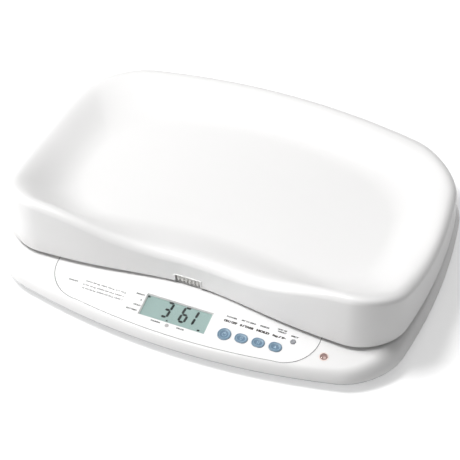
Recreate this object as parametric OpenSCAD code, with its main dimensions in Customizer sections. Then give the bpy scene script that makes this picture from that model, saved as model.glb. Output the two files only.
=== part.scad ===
// Digital baby weighing scale: a low bowed base with a tilted console in front, and a removable
// moulded tray that rests on a load platform over one single-point load cell.
// X runs across the scale, Y from the console to the rear, Z up. The origin lies on the table,
// under the middle of the base.

/* [Base] */
// Width over the bowed ends
base_w = 550; // [520:1:600]
// Depth over the bowed front and rear
base_d = 415; // [400:1:450]
// Corner radius of the base in plan
base_corner_r = 50; // [35:1:65]
// How far each end bows outwards
end_bow = 20; // [10:1:28]
// How far the front and the rear bow outwards
side_bow = 38; // [25:1:45]
// Height of the underside over the table
ground_gap = 5; // [4:0.5:8]
// Height of the bottom cover, from its underside up to the part line
cover_h = 9; // [8:0.5:12]
// Height of the housing, from the part line up to its flat deck
housing_h = 25; // [24:0.5:30]
// How far the housing's side leans in between the part line and the deck
side_lean = 20; // [12:1:24]
// Wall of the housing and of the cover
shell_t = 2.6; // [2:0.1:3.2]

/* [Console] */
// Tilt of the console towards the user
console_tilt = 8; // [5:0.5:10]
// Depth of the console along its slope, from its front edge to the deck
console_len = 72; // [68:1:78]
// Width of the printed overlay
overlay_w = 344; // [330:1:360]
// Thickness of the overlay
overlay_t = 0.5; // [0.3:0.1:0.8]
// Distance of the overlay's front edge from the widest line of the base
overlay_inset = 7; // [6:0.5:12]
// Width of the display window
window_w = 86; // [76:1:88]
// Height of the display window along the slope
window_h = 31; // [26:0.5:32]
// Middle of the display window, from the middle of the scale
window_x = -4.4; // [-6:0.2:0]
// Distance of the window's middle from the console's front edge, along the slope
window_s = 26.8; // [24:0.2:28]

/* [Keys] */
// Diameter of the first round key
main_key_d = 16.4; // [14:0.2:17]
// Length of the three oval keys
oval_key_l = 16; // [14:0.2:17]
// Width of the three oval keys
oval_key_w = 12.6; // [11:0.2:14]
// Diameter of the small round key
small_key_d = 6.4; // [5:0.2:8]
// Distance between the keys in the row
key_pitch = 21; // [20:0.2:22]
// Middle of the first key, from the middle of the scale
key_x = 61.2; // [60:0.2:64]
// How far the keys stand proud of the console
key_proud = 1.2; // [1:0.1:2]
// Travel of every key
key_travel = 1; // [0.6:0.1:1.1]

/* [Tray] */
// Height of the gap between the deck and the tray's lower edge
tray_gap = 3; // [2:0.5:5]
// Distance of the tray's wall from the widest line of the base, at the ends and the rear
tray_margin = 5; // [3:0.5:8]
// Depth of the console left free by the tray at its front corners, from the base's front
tray_front = 60; // [56:1:64]
// How far the tray's front is drawn in at its middle
waist = 20; // [10:1:22]
// Half width over which the front is drawn in
waist_w = 113; // [90:1:130]
// Radius of the tray's front corners in plan
tray_front_r = 52; // [45:1:65]
// Radius of the tray's rear corners in plan
tray_rear_r = 66; // [60:1:90]
// Height of the rim above the tray's lower edge, at the rear and along the ends
rim_h = 43; // [38:1:46]
// How much higher the rim rises at the two front corners
ear_h = 38; // [30:1:46]
// How much the rim dips in the middle of the front
front_dip = 6; // [0:1:8]
// Half width of the stretch over which the front of the rim stays low
ear_w = 140; // [120:1:160]
// Height of the tray's floor above its lower edge
floor_h = 18; // [16:0.5:20]
// Wall of the tray
tray_t = 3; // [2.5:0.1:3.4]
// Radius of the rolled edge of the rim
rim_r = 10; // [8:0.5:12]
// Width of the slope between the rim and the floor
slope_w = 62; // [50:1:75]

/* [Load cell and platform] */
// Length of the load cell
cell_l = 130; // [125:1:135]
// Width of the load cell
cell_w = 30; // [26:1:34]
// Height of the load cell
cell_h = 18; // [16:1:19]
// Thickness of the platform's plate
plate_t = 3; // [2:0.5:3.5]
// Distance between the left and the right pads
pad_dx = 300; // [260:2:330]
// Distance between the front and the rear pads
pad_dy = 150; // [120:2:170]
// Diameter of the rubber pads under the tray
pad_d = 24; // [20:1:28]
// Width of the locating tab in the tray's front notch
tab_w = 32; // [26:1:34]
// Middle of the locating tab, from the middle of the scale
tab_x = -6; // [-10:1:10]
// Height of the locating tab in the notch
tab_h = 10; // [8:0.5:11]

/* [Power] */
// Diameter of one battery cell
battery_d = 14.4; // [14:0.1:14.6]
// Length of one battery cell
battery_l = 50.4; // [49:0.1:51]
// Number of battery cells
battery_n = 4; // [3:1:4]
// Middle of the battery bay, from the middle of the scale
bay_x = 124; // [120:1:130]
// Middle of the battery bay, from front to rear
bay_y = 112; // [105:1:116]
// Thickness of the battery door
door_t = 2; // [1.6:0.1:2.2]

/* [Feet] */
// Diameter of the foot's thumb wheel
foot_d = 34; // [28:1:38]
// Diameter of the foot's threaded stem
stem_d = 8; // [6:1:10]
// Distance of the feet from the widest line of the base, at its ends
foot_in_x = 60; // [55:1:75]
// Distance of the front feet from the widest line of the base
foot_in_front = 107.5; // [100:0.5:115]
// Distance of the rear feet from the widest line of the base
foot_in_rear = 87.5; // [80:0.5:95]

/* [Hidden] */
$fn = 48;

// Clearances
slip = 0.3;     // between pieces that lift out or turn freely
snug = 0.1;     // between pieces that sit against each other
bore_fit = 0.05; // radial, of a stem in its bore

// Heights of the base
part_z = ground_gap + cover_h;
deck_z = part_z + housing_h;
floor_z = ground_gap + shell_t;

// The console is a plane that meets the deck at its crest
crest_y = -(base_d / 2 - 12.5) + console_len * cos(console_tilt);
console_y = -(base_d / 2 - 12.5);
console_z = deck_z - console_len * sin(console_tilt);

// The tray and what carries it
tray_z = deck_z + tray_gap;
rim_z = tray_z + rim_h;
tray_floor_z = tray_z + floor_h;
tray_y0 = -base_d / 2 + tray_front;
tray_y1 = base_d / 2 - tray_margin;
tray_x1 = base_w / 2 - tray_margin;
tray_mid_y = 35;
tray_inner_r = 42;

// The load cell stands on a pedestal and a spacer, and carries the platform under the tray
pedestal_h = 3;
spacer_t = 2;
cell_z = floor_z + pedestal_h + spacer_t;
cell_end = cell_l / 2 - 20;
bolt_d = 6;
bolt_dx = 18;
bolt_head_d = 10;
bolt_head_h = 4;
bolt_hex_d = 5.8;
cell_tap = 12;
cell_slot = 2;
plate_rib_t = 2;
plate_rib_h = 4;
stop_nut_d = 9;
stop_nut_h = 4;
stop_d = 5;
pad_h = 7;
plate_z = tray_floor_z - tray_t - pad_h - plate_t;
arm_w = pad_d + 10;
beam_w = 60;
tongue_w = 20;
deck_hole_d = 64;
stop_gap = 0.4;

// Heights and depths under the console, along its own normal
board_depth = 13;
board_t = 1.6;
board_x0 = -76;
board_x1 = 156;
board_s0 = 12;
board_s1 = 50;
board_screw_in = 5;
board_screw_d = 2.5;
board_screw_l = 5;
board_head_d = 4.6;
board_head_h = 1.8;
board_post_d = 6;
switch_w = 6;
switch_h = 3.8;
switch_top_d = 3.4;
key_stem_d = 4;
key_flange_t = 1;
glass_t = 1.8;
ledge = 1;
window_t = 1.4;
key_s = 19.6;
key_rise = 1.3;
small_key_x = 141.4;
small_key_s = 37.4;
level_x = 182.2;
level_s = 30.5;
level_d = 11.6;
level_wall = 1.2;
level_flange = 3;
level_flange_t = 1.2;
key_flange = 3;

// Bottom cover, battery bay and feet
foot_mid_y = (foot_in_front - foot_in_rear) / 2;
boss_h = 10;
screw_d = 3;
screw_head_d = 5.6;
screw_head_h = 2;
bay_w = battery_n * (battery_d + 0.6) + 0.8;
bay_l = battery_l + 7;
bay_wall = 1.8;
bay_step = 3;
cell_mid_z = ground_gap + door_t + 1 + battery_d / 2;
bay_roof_z = cell_mid_z + battery_d / 2 + 0.6;
jack_x = -120;
jack_z = part_z + 8;
jack_d = 9;
jack_body = 12;
jack_l = 11;
plug_d = 5.5;

// Steps of the moulded outlines and of their sides
arc_n = 8;
long_n = 15;
short_n = 9;
side_n = 6;
roll_n = 4;
slope_n = 7;

// ---- Plan outlines ----

function arc_points(cx, cy, r, a) =
  [for (i = [0:arc_n]) [cx + r * cos(a + 90 * i / arc_n), cy + r * sin(a + 90 * i / arc_n)]];

function side_points(p, q, n) = [for (i = [1:n]) p + (q - p) * i / (n + 1)];

// A rounded rectangle from -x1 to x1 and from y0 to y1, with points along its straight sides too.
// Its corners have the radius r0 at the front and r1 at the rear.
function rounded_box(x1, y0, y1, r0, r1) = concat(
  arc_points(x1 - r1, y1 - r1, r1, 0),
  side_points([x1 - r1, y1], [r1 - x1, y1], long_n),
  arc_points(r1 - x1, y1 - r1, r1, 90),
  side_points([-x1, y1 - r1], [-x1, y0 + r0], short_n),
  arc_points(r0 - x1, y0 + r0, r0, 180),
  side_points([r0 - x1, y0], [x1 - r0, y0], long_n),
  arc_points(x1 - r0, y0 + r0, r0, 270),
  side_points([x1, y0 + r0], [x1, y1 - r1], short_n)
);

// The same, with its four sides bowed outwards and the middle of its front drawn in
function bowed(x1, y0, y1, r0, r1, bow_front, draw_in) =
  [for (p = rounded_box(x1, y0, y1, r0, r1))
    let (u = p.x / x1, w = (2 * p.y - y0 - y1) / (y1 - y0))
    let (out = (w > 0 ? side_bow : bow_front) * (1 - u * u))
    let (in = w < 0 ? draw_in * exp(-pow(p.x / waist_w, 2)) : 0)
    [p.x + end_bow * u * (1 - w * w), p.y + w * (out - in)]];

// The base's outline, set in by d from its widest line
function base_plan(d) = bowed(
  base_w / 2 - end_bow - d,
  side_bow - base_d / 2 + d,
  base_d / 2 - side_bow - d,
  max(base_corner_r - d, 10),
  max(base_corner_r - d, 10),
  side_bow,
  0
);

// The tray's outline, set in by d from its outer wall
function tray_plan(d) = bowed(
  tray_x1 - end_bow - d,
  tray_y0 + d,
  tray_y1 - side_bow - d,
  max(tray_front_r - d, tray_inner_r),
  max(tray_rear_r - d, tray_inner_r),
  0,
  waist
);

// ---- Lofted shells ----

function at_height(plan, z) = [for (p = plan) [p.x, p.y, z]];

// One closed solid through a list of rings with as many points each, capped at both ends. The
// rings turn counter-clockwise and run upwards on the outside.
module loft(rings) {
  n = len(rings[0]);
  last = len(rings) - 1;
  walls = [for (k = [0:last - 1], i = [0:n - 1])
    let (a = k * n + i, b = k * n + (i + 1) % n)
    each [[a, a + n, b], [b, a + n, b + n]]];
  foot = [for (i = [0:n - 1]) i];
  top = [for (i = [0:n - 1]) last * n + n - 1 - i];
  polyhedron(points = [for (ring = rings) each ring], faces = concat([foot], walls, [top]));
}

// ---- Places on the console ----

// Puts its children on the console, at x across and s up the slope, with Z along its normal
module on_console(x = 0, s = 0) {
  translate([0, console_y, console_z])
    rotate([console_tilt, 0, 0])
      translate([x, s, 0])
        children();
}

// Height of the base's top at a distance y from its middle
function top_z(y) = min(deck_z, console_z + (y - console_y) * tan(console_tilt));

// ---- Base ----

// The housing's outer form, or with d its cavity, cut off by the console and lower by d
module housing_form(d) {
  difference() {
    loft([for (i = [0:side_n]) let (a = 90 * i / side_n)
      at_height(base_plan(d + side_lean * (1 - cos(a))), part_z - d + housing_h * sin(a))]);
    on_console()
      translate([-base_w / 2, -base_d / 4, -d])
        cube([base_w, base_d / 4 + console_len + d * tan(console_tilt / 2), housing_h * 2]);
  }
}

screw_front_x = 85;
screw_front_y = 58;
screw_end_x = 26;
screw_rear_x = 95;
screw_rear_y = 42;
screw_mid_rear = 24;
screw_mid_front = 15;
screw_places = [
  for (side = [-1, 1])
    each [
      [side * (base_w / 2 - screw_front_x), -base_d / 2 + screw_front_y],
      [side * (base_w / 2 - screw_end_x), foot_mid_y],
      [side * (base_w / 2 - screw_rear_x), base_d / 2 - screw_rear_y]
    ],
  [0, base_d / 2 - screw_mid_rear],
  [0, crest_y + screw_mid_front]
];
screw_seat_z = floor_z + 3.4;
screw_l = 12;
post_wall = 5;

module housing_posts() {
  for (p = screw_places)
    translate([p.x, p.y, screw_seat_z + snug])
      difference() {
        cylinder(d = screw_d + post_wall, h = top_z(p.y) - shell_t / 2 - screw_seat_z - snug);
        translate([0, 0, -1])
          cylinder(d = screw_d + 2 * bore_fit, h = screw_l + 1);
      }
}

board_screw_places = [
  for (x = [board_x0 + board_screw_in, board_x1 - board_screw_in],
    s = [board_s0 + board_screw_in, board_s1 - board_screw_in]) [x, s]
];

module board_posts() {
  for (p = board_screw_places)
    on_console(p.x, p.y)
      translate([0, 0, -board_depth])
        difference() {
          cylinder(d = board_post_d, h = board_depth - shell_t / 2);
          translate([0, 0, -1])
            cylinder(d = board_screw_d + 2 * bore_fit, h = board_screw_l + 2);
        }
}

// An upright oval with round ends, on its own middle
module oval(l, w, h) {
  for (side = [-1, 1])
    translate([side * (l - w) / 2, 0, 0])
      cylinder(d = w, h = h);
  if (l > w)
    translate([(w - l) / 2, -w / 2, 0])
      cube([l - w, w, h]);
}

// The crescent of the overlay: its front edge follows the base and its ends are rounded off
overlay_s1 = console_len - 1.5;
function overlay_front(x) =
  (side_bow * pow(x / (base_w / 2 - end_bow), 2) + overlay_inset - base_d / 2 - console_y)
  / cos(console_tilt);
overlay_end_r = 44;

module overlay_shape(d) {
  x1 = overlay_w / 2 - d;
  x2 = x1 - overlay_end_r;
  s2 = overlay_front(x2) + d;
  right = [for (a = [0:15:90]) [x2 + overlay_end_r * sin(a), s2 + overlay_end_r * (1 - cos(a))]];
  left = [for (i = [len(right) - 1:-1:0]) [-right[i].x, right[i].y]];
  polygon(concat(
    left,
    [for (i = [1:15]) let (x = x2 * (i / 8 - 1)) [x, overlay_front(x) + d]],
    right,
    [[x1, overlay_s1 - d], [-x1, overlay_s1 - d]]
  ));
}

main_keys = [
  for (i = [0:3])
    [key_x + i * key_pitch, key_s + i * key_rise,
      i == 0 ? main_key_d : oval_key_l, i == 0 ? main_key_d : oval_key_w]
];
small_key = [small_key_x, small_key_s, small_key_d, small_key_d];
all_keys = concat(main_keys, [small_key]);

module key_holes(depth) {
  for (k = all_keys)
    on_console(k[0], k[1])
      translate([0, 0, -depth])
        oval(k[2] + 2 * slip, k[3] + 2 * slip, depth + 1);
}

// A box on the console, on the window's middle line across, from z0 up
module window_box(s, w, l, z0, h) {
  on_console(window_x, s)
    translate([-w / 2, -l / 2, z0])
      cube([w, l, h]);
}

module base_housing() {
  color("white") {
    difference() {
      housing_form(0);
      housing_form(shell_t);
      on_console()
        translate([0, 0, -overlay_t])
          linear_extrude(overlay_t + 1)
            overlay_shape(0);
      key_holes(shell_t * 2);
      window_box(window_s, window_w + snug * 2, window_h + snug * 2, -window_t, window_t + 1);
      window_box(window_s, window_w - 2 * ledge, window_h - 2 * ledge, -2 * shell_t, shell_t * 2);
      on_console(level_x, level_s)
        translate([0, 0, -2 * shell_t])
          cylinder(d = level_d + 2 * snug, h = 3 * shell_t);
      translate([cell_end, tray_mid_y, deck_z - 2 * shell_t])
        cylinder(d = deck_hole_d, h = 3 * shell_t);
      translate([jack_x, base_d / 2 + 1, jack_z])
        rotate([90, 0, 0])
          cylinder(d = jack_d + 2 * snug, h = side_bow);
    }
    housing_posts();
    board_posts();
    translate([cell_end, tray_mid_y, deck_z - shell_t / 2])
      difference() {
        cylinder(d = deck_hole_d + 6, h = shell_t / 2 + 3);
        translate([0, 0, -1])
          cylinder(d = deck_hole_d, h = shell_t + 6);
      }
  }
}

function cover_inset(z) = 9 * pow(1 - (z - ground_gap) / cover_h, 2);
cover_steps = [0, 0.25, 0.55, 1];

module cover_dish() {
  outer = [for (t = cover_steps) let (z = ground_gap + t * cover_h)
    at_height(base_plan(cover_inset(z)), z)];
  inner = [for (t = [1, 0.55, (shell_t + 0.4) / cover_h]) let (z = ground_gap + t * cover_h)
    at_height(base_plan(cover_inset(z) + shell_t), z)];
  bottom = at_height(base_plan(cover_inset(floor_z) + shell_t + 1), floor_z);
  loft(concat(outer, inner, [bottom]));
}

foot_places = [
  for (y = [foot_in_front - base_d / 2, base_d / 2 - foot_in_rear], side = [-1, 1])
    [side * (base_w / 2 - foot_in_x), y]
];

// The battery bay's box, grown by d, from z0 to z1
module bay_box(d, z0, z1) {
  translate([bay_x - bay_w / 2 - d, bay_y - bay_l / 2 - d, z0])
    cube([bay_w + 2 * d, bay_l + 2 * d, z1 - z0]);
}

rib_t = 2;
rib_h = 5;
rib_in_front = 30;
rib_in_rear = 66;
rib_in_x = 120;
rib_end_x = 30;
rib_end_l = 90;

module cover_ribs() {
  for (side = [-1, 1]) {
    translate([side * (cell_l / 2 + 12) - rib_t / 2, crest_y + rib_in_front, floor_z - 1])
      cube([rib_t, base_d / 2 - rib_in_rear - crest_y - rib_in_front, rib_h + 1]);
    translate([side * (base_w / 2 - rib_end_x) - (side > 0 ? rib_end_l : 0), foot_mid_y - 12, floor_z - 1])
      cube([rib_end_l, rib_t, rib_h + 1]);
  }
  translate([rib_in_x - base_w / 2, crest_y + rib_in_front, floor_z - 1])
    cube([base_w - 2 * rib_in_x, rib_t, rib_h + 1]);
}

module base_cover() {
  color("gainsboro")
    difference() {
      union() {
        cover_dish();
        cover_ribs();
        for (p = foot_places)
          translate([p.x, p.y, ground_gap + 1])
            cylinder(d = stem_d + 8, h = boss_h);
        for (p = screw_places)
          translate([p.x, p.y, ground_gap + 1])
            cylinder(d = screw_head_d + post_wall, h = screw_seat_z - ground_gap - 1);
        translate([-cell_end - bolt_dx, tray_mid_y - cell_w / 2, floor_z - 1])
          cube([2 * bolt_dx, cell_w, pedestal_h + 1]);
        bay_box(bay_step + bay_wall, ground_gap, floor_z + 2);
        bay_box(bay_wall, ground_gap, bay_roof_z + bay_wall);
      }
      bay_box(0, ground_gap - 1, bay_roof_z);
      bay_box(bay_step, ground_gap - 1, ground_gap + door_t);
      for (p = foot_places)
        translate([p.x, p.y, 0])
          cylinder(d = stem_d + 2 * bore_fit, h = ground_gap + boss_h + 2);
      for (p = screw_places)
        translate([p.x, p.y, 0]) {
          cylinder(d = screw_d + 2 * bore_fit, h = screw_seat_z + 1);
          cylinder(d = screw_head_d + 2 * slip, h = ground_gap + screw_head_h + slip);
        }
      for (side = [-1, 1])
        translate([-cell_end + side * bolt_dx / 2, tray_mid_y, ground_gap + 1.2])
          cylinder(d = bolt_d + 2 * bore_fit, h = floor_z + pedestal_h);
    }
}

module housing_screws() {
  color("silver")
    for (p = screw_places)
      translate([p.x, p.y, ground_gap + slip]) {
        cylinder(d = screw_head_d, h = screw_head_h);
        cylinder(d = screw_d, h = screw_head_h + screw_l);
      }
}

// ---- Console ----

module panel_overlay() {
  color("whitesmoke")
    difference() {
      on_console()
        translate([0, 0, -overlay_t])
          linear_extrude(overlay_t)
            overlay_shape(snug);
      key_holes(shell_t);
      window_box(window_s, window_w + 2 * snug, window_h + 2 * snug, -shell_t, 2 * shell_t);
    }
}

module display_window() {
  color("lightcyan")
    window_box(window_s, window_w, window_h, -window_t, window_t - 0.1);
}

glass_w = window_w - 1;
glass_l = window_h - 1;
glass_z = -shell_t - snug - glass_t;

module display_glass() {
  color("darkseagreen")
    window_box(window_s, glass_w, glass_l, glass_z, glass_t);
}

module display_frame() {
  frame_z = -board_depth;
  frame_wall = 3;
  color("dimgray")
    difference() {
      window_box(window_s, glass_w + 2 * frame_wall, glass_l + 2 * frame_wall, frame_z,
        board_depth - shell_t - snug);
      window_box(window_s, glass_w + 2 * snug, glass_l + 2 * snug, glass_z - snug, board_depth);
      window_box(window_s, glass_w - 4, glass_l - 4, frame_z - 1, board_depth + glass_z - 3);
    }
}

module circuit_board() {
  color("seagreen")
    difference() {
      on_console(board_x0, board_s0)
        translate([0, 0, -board_depth - board_t])
          cube([board_x1 - board_x0, board_s1 - board_s0, board_t]);
      for (p = board_screw_places)
        on_console(p.x, p.y)
          translate([0, 0, -board_depth - board_t - 1])
            cylinder(d = board_screw_d + 2 * slip, h = board_t + 2);
    }
}

module board_screws() {
  color("silver")
    for (p = board_screw_places)
      on_console(p.x, p.y)
        translate([0, 0, -board_depth - board_t - board_head_h]) {
          cylinder(d = board_head_d, h = board_head_h);
          cylinder(d = board_screw_d, h = board_head_h + board_t + board_screw_l);
        }
}

module key_switches() {
  color("black")
    for (k = all_keys)
      on_console(k[0], k[1])
        translate([0, 0, -board_depth]) {
          translate([-switch_w / 2, -switch_w / 2, 0])
            cube([switch_w, switch_w, switch_h - 0.6]);
          cylinder(d = switch_top_d, h = switch_h);
        }
}

// One key: a cap through the console, a flange under the wall and a stem down to its switch
module key(k) {
  stem_z = -board_depth + switch_h + key_travel + snug;
  cap_z = -shell_t - snug - key_flange_t;
  on_console(k[0], k[1]) {
    translate([0, 0, cap_z])
      oval(k[2], k[3], key_proud - cap_z);
    translate([0, 0, cap_z])
      oval(k[2] + key_flange, k[3] + key_flange, key_flange_t);
    translate([0, 0, stem_z])
      cylinder(d = key_stem_d, h = cap_z - stem_z + 0.5);
  }
}

module key_1() { color("steelblue") key(main_keys[0]); }
module key_2() { color("steelblue") key(main_keys[1]); }
module key_3() { color("steelblue") key(main_keys[2]); }
module key_4() { color("steelblue") key(main_keys[3]); }
module key_small() { color("darkgray") key(small_key); }

level_lens_t = 1.5;
level_depth = 8;

module level_case() {
  color("mistyrose")
    on_console(level_x, level_s)
      difference() {
        union() {
          translate([0, 0, -level_depth])
            cylinder(d = level_d, h = level_depth + 0.3);
          translate([0, 0, -shell_t - snug - level_flange_t])
            cylinder(d = level_d + level_flange, h = level_flange_t);
        }
        translate([0, 0, 1.5 - level_depth])
          cylinder(d = level_d - 2 * level_wall, h = level_depth);
      }
}

module level_lens() {
  color("lightcoral")
    on_console(level_x, level_s)
      translate([0, 0, 0.2 - level_lens_t])
        cylinder(d = level_d - 2 * level_wall - 2 * bore_fit, h = level_lens_t);
}

module power_jack() {
  wall_y = base_d / 2 - side_bow * pow(jack_x / (base_w / 2 - end_bow), 2) - shell_t - 1.5;
  body_gap = 3.5;
  color("black")
    translate([jack_x, wall_y, jack_z])
      difference() {
        union() {
          rotate([90, 0, 0])
            translate([0, 0, -shell_t])
              cylinder(d = jack_d, h = shell_t + body_gap + 1);
          translate([-jack_body / 2, -jack_body - body_gap, -jack_body / 2])
            cube([jack_body, jack_body, jack_body - 2]);
        }
        translate([0, shell_t + 1, 0])
          rotate([90, 0, 0])
            cylinder(d = plug_d, h = jack_l + 1);
      }
}

// ---- Load cell and platform ----

module load_cell() {
  hole_d = 0.62 * cell_h;
  color("lightsteelblue")
    translate([0, tray_mid_y, cell_z])
      difference() {
        translate([-cell_l / 2, -cell_w / 2, 0])
          cube([cell_l, cell_w, cell_h]);
        for (side = [-1, 1]) {
          translate([side * hole_d, cell_w, cell_h / 2])
            rotate([90, 0, 0])
              cylinder(d = hole_d, h = 2 * cell_w);
          for (end = [-1, 1])
            translate([end * cell_end + side * bolt_dx / 2, 0, end > 0 ? cell_h - cell_tap : -1])
              cylinder(d = bolt_d + 2 * bore_fit, h = cell_h + 2);
        }
        translate([-hole_d, -cell_w, cell_h / 2 - cell_slot / 2])
          cube([2 * hole_d, 2 * cell_w, cell_slot]);
      }
}

module bolt_holes(x) {
  for (side = [-1, 1])
    translate([x + side * bolt_dx / 2, tray_mid_y, 0])
      cylinder(d = bolt_d + 2 * bore_fit, h = tray_z + 40);
}

module cell_spacers() {
  top = cell_z + cell_h;
  color("gray")
    difference() {
      union() {
        translate([-cell_end - bolt_dx, tray_mid_y - cell_w / 2, floor_z + pedestal_h])
          cube([2 * bolt_dx, cell_w, spacer_t]);
        translate([cell_end - bolt_dx, tray_mid_y - cell_w / 2, top])
          cube([2 * bolt_dx, cell_w, plate_z - top]);
      }
      bolt_holes(-cell_end);
      bolt_holes(cell_end);
    }
}

// A bolt that stands head up, with its head's underside at z
module bolt(z, l) {
  translate([0, 0, z - l])
    cylinder(d = bolt_d, h = l);
  difference() {
    translate([0, 0, z])
      cylinder(d = bolt_head_d, h = bolt_head_h);
    translate([0, 0, z + 1.5])
      cylinder(d = bolt_hex_d, h = bolt_head_h, $fn = 6);
  }
}

module cell_bolts() {
  color("dimgray")
    for (side = [-1, 1]) {
      translate([-cell_end + side * bolt_dx / 2, tray_mid_y, 0])
        bolt(cell_z + cell_h, cell_z + cell_h - ground_gap - 1.4);
      translate([cell_end + side * bolt_dx / 2, tray_mid_y, 0])
        bolt(plate_z + plate_t, plate_z + plate_t - cell_z - cell_h + 11);
    }
}

pad_places = [for (sx = [-1, 1], sy = [-1, 1]) [sx * pad_dx / 2, tray_mid_y + sy * pad_dy / 2]];
tab_y = tray_y0 + waist;
tab_depth = 9;

lighten_d = 0.38 * beam_w;

// Middles of the holes that lighten the beam, clear of its arms and of the load cell's bolts
lighten_x = [
  for (side = [-1, 1], k = [0:side < 0 ? 3 : 1])
    side * (pad_dx / 2 - arm_w / 2 - lighten_d * (0.6 + 1.2 * k))
];

module platform() {
  arm_l = pad_dy;
  neck_w = arm_w - 6;
  color("lightgray")
    difference() {
      union() {
        translate([-pad_dx / 2, tray_mid_y - beam_w / 2, plate_z])
          cube([pad_dx, beam_w, plate_t]);
        for (side = [-1, 1]) {
          translate([side * pad_dx / 2 - neck_w / 2, tray_mid_y - arm_l / 2, plate_z])
            cube([neck_w, arm_l, plate_t]);
          translate([1 - pad_dx / 2, tray_mid_y + side * (beam_w / 2 - 2) - plate_rib_t / 2,
            plate_z - plate_rib_h])
            cube([pad_dx - 2, plate_rib_t, plate_rib_h + 0.5]);
        }
        for (p = pad_places)
          translate([p.x, p.y, plate_z])
            cylinder(d = arm_w, h = plate_t);
        translate([tab_x - tongue_w / 2, tab_y + tab_depth / 2, plate_z])
          cube([tongue_w, tray_mid_y - tab_y - tab_depth / 2, plate_t]);
      }
      bolt_holes(cell_end);
      for (x = lighten_x)
        translate([x, tray_mid_y, plate_z - 1])
          cylinder(d = lighten_d, h = plate_t + 2);
    }
}

module platform_pads() {
  color("dimgray")
    for (p = pad_places)
      translate([p.x, p.y, plate_z + plate_t])
        cylinder(d = pad_d, h = pad_h - snug);
}

module locating_tab() {
  color("gainsboro")
    difference() {
      translate([tab_x - tab_w / 2, tab_y + slip, tray_z + slip])
        cube([tab_w, tab_depth, tab_h]);
      translate([tab_x - tongue_w / 2 - snug, tab_y + tab_depth / 2 - snug, plate_z - snug])
        cube([tongue_w + 2 * snug, tab_depth, plate_t + 2 * snug]);
    }
}

module overload_stops() {
  color("silver")
    for (p = pad_places)
      translate([p.x, p.y - sign(p.y - tray_mid_y) * (pad_d + 4), deck_z]) {
        cylinder(d = stop_nut_d, h = stop_nut_h, $fn = 6);
        cylinder(d = stop_d, h = plate_z - deck_z - stop_gap);
      }
}

// ---- Tray ----

ear_y = 20;
ear_len = 160;
draft = 2.4;
rim_flat = 1;

function ease(t) = 1 - cos(90 * min(max(t, 0), 1));

// Height of the rim's top over a point of the plan. Towards the front it rises into two corners
// and dips between them.
function rim_top(p) =
  let (corner = 1 - exp(-pow(abs(p.x) / ear_w, 3)))
  rim_z + (ear_h * corner - front_dip * (1 - corner)) * ease((ear_y - p.y) / ear_len);

// A ring at inset d that lies h under the rim's top
function rim_ring(d, h) = [for (p = tray_plan(d)) [p.x, p.y, rim_top(p) - h]];

// A ring of the slope between the rim, at t = 0, and the floor, at t = 1, lowered by h
function slope_ring(t, h) =
  [for (p = tray_plan(draft + rim_r + rim_flat + slope_w * t))
    let (fall = (1 - cos(180 * pow(t, 0.8))) / 2)
    [p.x, p.y, rim_top(p) + (tray_floor_z - rim_top(p)) * fall - h]];

module tray() {
  under = [for (i = [slope_n:-1:0]) slope_ring(i / slope_n, i == slope_n ? tray_t : tray_t * 1.3)];
  wall = [
    rim_ring(draft + tray_t, rim_r + tray_t),
    at_height(tray_plan(tray_t), tray_z),
    at_height(tray_plan(0), tray_z)
  ];
  roll = [for (i = [0:roll_n]) let (a = 90 * i / roll_n)
    rim_ring(draft + rim_r * (1 - cos(a)), rim_r * (1 - sin(a)))];
  slope = [for (i = [0:slope_n]) slope_ring(i / slope_n, 0)];
  color("white")
    difference() {
      loft(concat(under, wall, roll, slope));
      translate([tab_x - tab_w / 2 - slip, tab_y - tray_t, tray_z - 1])
        cube([tab_w + 2 * slip, 4 * tray_t, tab_h + 1 + 2 * slip]);
    }
}

module tray_ribs() {
  rib_z = plate_z + plate_t + 1.5;
  top = tray_floor_z - tray_t;
  socket_d = pad_d + 1.2;
  color("whitesmoke")
    difference() {
      union() {
        for (p = pad_places)
          translate([p.x, p.y, rib_z - 0.5])
            cylinder(d = socket_d + 6, h = top - rib_z + 0.5);
        for (side = [-1, 1]) {
          translate([-pad_dx / 2, tray_mid_y + side * pad_dy / 2 - 1.2, rib_z])
            cube([pad_dx, 2.4, top - rib_z]);
          translate([side * pad_dx / 2 - 1.2, tray_mid_y - pad_dy / 2, rib_z])
            cube([2.4, pad_dy, top - rib_z]);
        }
      }
      for (p = pad_places)
        translate([p.x, p.y, rib_z - 2])
          cylinder(d = socket_d, h = top);
    }
}

// ---- Battery bay ----

hinge_z = ground_gap + door_t / 2;
hinge_x = bay_x - bay_w / 2 - bay_step + slip + door_t / 2;

module battery_door() {
  w = bay_w + 2 * bay_step - 2 * slip - door_t / 2;
  l = bay_l + 2 * bay_step - 2 * slip;
  color("gainsboro")
    difference() {
      union() {
        translate([hinge_x, bay_y - l / 2, ground_gap + snug])
          cube([w, l, door_t - 2 * snug]);
        translate([hinge_x, bay_y + l / 2, hinge_z])
          rotate([90, 0, 0])
            cylinder(d = door_t - 2 * snug, h = l);
      }
      translate([hinge_x + w, bay_y, ground_gap - 1])
        cylinder(d = door_grip_d, h = door_t);
      for (i = [1:3])
        translate([hinge_x + w - 12 - groove_step * i, bay_y - groove_l / 2, ground_gap - 0.4])
          cube([groove_w, groove_l, 1]);
    }
}

function battery_px(i) = bay_x + (i - (battery_n - 1) / 2) * (battery_d + 0.6);
battery_y0 = bay_y - bay_l / 2 + 1;
nub_d = 5.4;
nub_h = 1.2;
contact_w = 8;
contact_t = 0.6;
coil_d = 5;
door_grip_d = 14;
groove_l = 20;
groove_w = 1.2;
groove_step = 3;

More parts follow.
